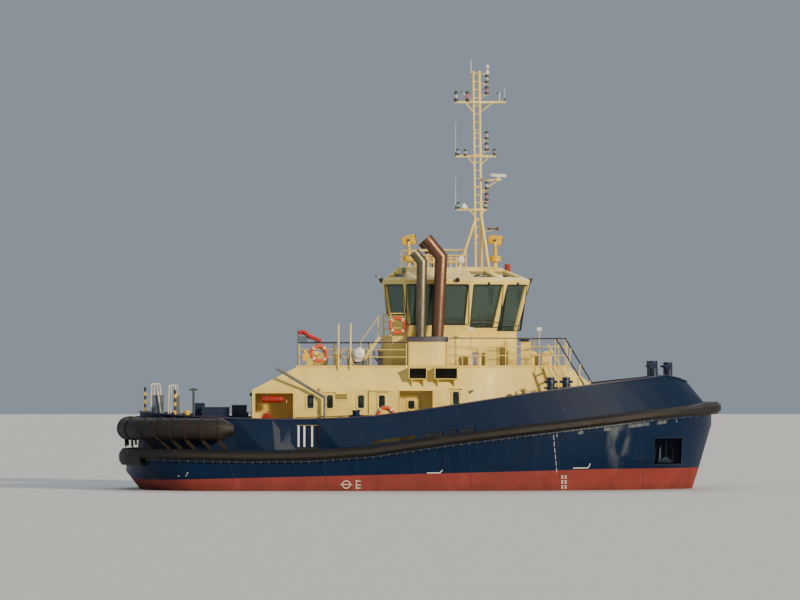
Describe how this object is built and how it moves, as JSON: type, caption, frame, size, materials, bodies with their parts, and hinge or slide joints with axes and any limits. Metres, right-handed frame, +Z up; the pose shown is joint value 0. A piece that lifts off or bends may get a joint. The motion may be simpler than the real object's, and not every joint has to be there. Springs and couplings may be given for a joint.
{
  "type": "harbour tug",
  "caption": "Harbour tug with azimuth thrusters, rubber fenders, a low deckhouse, a glazed wheelhouse, twin exhausts and a ladder mast.",
  "frame": {"origin": "amidships on the centreline at the waterline", "axes": "+X forward, +Y to port, +Z up"},
  "size_m": [24.6001, 11.4246, 21.8006],
  "materials": {
    "hull_paint": "semi-gloss navy",
    "bottom_paint": "matt red",
    "cap_paint": "semi-gloss",
    "cream_paint": "semi-gloss",
    "mast_paint": "semi-gloss",
    "deck_paint": "matt",
    "white_paint": "semi-gloss",
    "dark_paint": "satin",
    "lamp_paint": "satin",
    "hot_pipe": "satin bronze",
    "galvanised": "dull",
    "stainless": "polished",
    "bronze": "polished",
    "rubber": "weathered",
    "chair": "matt",
    "lifebuoy": "matt",
    "glass": "tinted"
  },
  "bodies": {
    "vessel": {"hull": "hull_paint", "belt_fender": "rubber", "stern_block_fender": "rubber", "stern_fender": "rubber", "bulwark": "hull_paint", "bulwark_cap_rail": "cap_paint", "deckhouse": "cream_paint", "boat_deck": "deck_paint", "wheelhouse_trunk": "cream_paint", "bridge_deck": "cream_paint", "wheelhouse": "cream_paint", "wheelhouse_glazing": "glass", "wheelhouse_roof": "cream_paint", "sky_window_glazing": "glass", "bridge_console": "dark_paint", "helm_chair": "chair", "funnel_casing_port": "cream_paint", "funnel_casing_starboard": "cream_paint", "main_exhaust_port": "hot_pipe", "main_exhaust_starboard": "hot_pipe", "auxiliary_exhaust_port": "hot_pipe", "auxiliary_exhaust_starboard": "hot_pipe", "mast": "mast_paint", "searchlight_aft": "lamp_paint", "searchlight_forward": "lamp_paint", "aft_rail": "cream_paint", "fore_rail": "cream_paint", "bridge_rail": "cream_paint", "roof_rail": "mast_paint", "fore_stairs": "cream_paint", "bridge_stairs": "cream_paint", "davit_post": "galvanised", "liferaft_canister": "white_paint", "lifebuoy_aft_rail": "lifebuoy", "lifebuoy_bridge_rail": "lifebuoy", "fore_winch_frame": "hull_paint", "aft_winch_frame": "hull_paint", "fore_bitts_port": "hull_paint", "fore_bitts_starboard": "hull_paint", "bow_staple": "hull_paint", "stern_staple": "hull_paint", "anchor_port": "dark_paint", "anchor_starboard": "dark_paint", "stern_handrail_port": "stainless", "stern_handrail_starboard": "stainless"},
    "port_thruster": {"thruster_port": "bottom_paint"},
    "starboard_thruster": {"thruster_starboard": "bottom_paint"},
    "port_propeller": {"propeller_port": "bronze"},
    "starboard_propeller": {"propeller_starboard": "bronze"},
    "radar": {"radar_scanner": "white_paint"},
    "davit": {"davit_arm": "galvanised"},
    "port_side_door": {"side_door_port": "cream_paint"},
    "starboard_side_door": {"side_door_starboard": "cream_paint"},
    "aft_deckhouse_door": {"aft_door": "cream_paint"},
    "wheelhouse_door": {"bridge_door": "cream_paint"},
    "port_gate": {"boarding_gate_port": "white_paint"},
    "starboard_gate": {"boarding_gate_starboard": "white_paint"},
    "fore_drum": {"fore_winch_drum": "galvanised"},
    "aft_drum": {"aft_winch_drum": "galvanised"},
    "hatch_lid": {"aft_hatch_lid": "hull_paint"}
  },
  "joints": [
    {"name": "port_thruster_steering", "type": "hinge", "parent": "vessel", "child": "port_thruster", "pos_m": [-8.35, 2.35, -1.75], "axis": [0, 0, 1], "continuous": true},
    {"name": "starboard_thruster_steering", "type": "hinge", "parent": "vessel", "child": "starboard_thruster", "pos_m": [-8.35, -2.35, -1.75], "axis": [0, 0, 1], "continuous": true},
    {"name": "port_propeller_shaft", "type": "hinge", "parent": "port_thruster", "child": "port_propeller", "pos_m": [-8.41, 2.35, -3.42], "axis": [1, 0, 0], "continuous": true},
    {"name": "starboard_propeller_shaft", "type": "hinge", "parent": "starboard_thruster", "child": "starboard_propeller", "pos_m": [-8.41, -2.35, -3.42], "axis": [1, 0, 0], "continuous": true},
    {"name": "radar_scanner_spin", "type": "hinge", "parent": "vessel", "child": "radar", "pos_m": [3.25, 0, 12.76], "axis": [0, 0, 1], "continuous": true},
    {"name": "davit_slewing", "type": "hinge", "parent": "vessel", "child": "davit", "pos_m": [-3.85, -4, 2.66], "axis": [0, 0, 1], "range_deg": [-10, 170]},
    {"name": "port_side_door_hinge", "type": "hinge", "parent": "vessel", "child": "port_side_door", "pos_m": [-0.734, 3.146, 3], "axis": [0, 0, 1], "range_deg": [0, 90]},
    {"name": "starboard_side_door_hinge", "type": "hinge", "parent": "vessel", "child": "starboard_side_door", "pos_m": [-0.734, -3.146, 3], "axis": [0, 0, -1], "range_deg": [0, 90]},
    {"name": "aft_door_hinge", "type": "hinge", "parent": "vessel", "child": "aft_deckhouse_door", "pos_m": [-6.786, -0.374, 2.6], "axis": [0, 0, 1], "range_deg": [0, 120]},
    {"name": "wheelhouse_door_hinge", "type": "hinge", "parent": "vessel", "child": "wheelhouse_door", "pos_m": [-1.034, -0.354, 6.2], "axis": [0.1594, 0, -0.9872], "range_deg": [0, 95]},
    {"name": "port_gate_hinge", "type": "hinge", "parent": "vessel", "child": "port_gate", "pos_m": [-4.954, 4.854, 2.1], "axis": [0, 0, -1], "range_deg": [0, 90]},
    {"name": "starboard_gate_hinge", "type": "hinge", "parent": "vessel", "child": "starboard_gate", "pos_m": [-4.954, -4.854, 2.1], "axis": [0, 0, 1], "range_deg": [0, 90]},
    {"name": "fore_winch_spin", "type": "hinge", "parent": "vessel", "child": "fore_drum", "pos_m": [8.7, 0, 3.9], "axis": [0, 1, 0], "continuous": true},
    {"name": "aft_winch_spin", "type": "hinge", "parent": "vessel", "child": "aft_drum", "pos_m": [-8.25, 0, 2.56], "axis": [0, 1, 0], "continuous": true},
    {"name": "hatch_lid_hinge", "type": "hinge", "parent": "vessel", "child": "hatch_lid", "pos_m": [-10.19, 0, 1.9705], "axis": [0, -1, 0], "range_deg": [0, 100]}
  ]
}
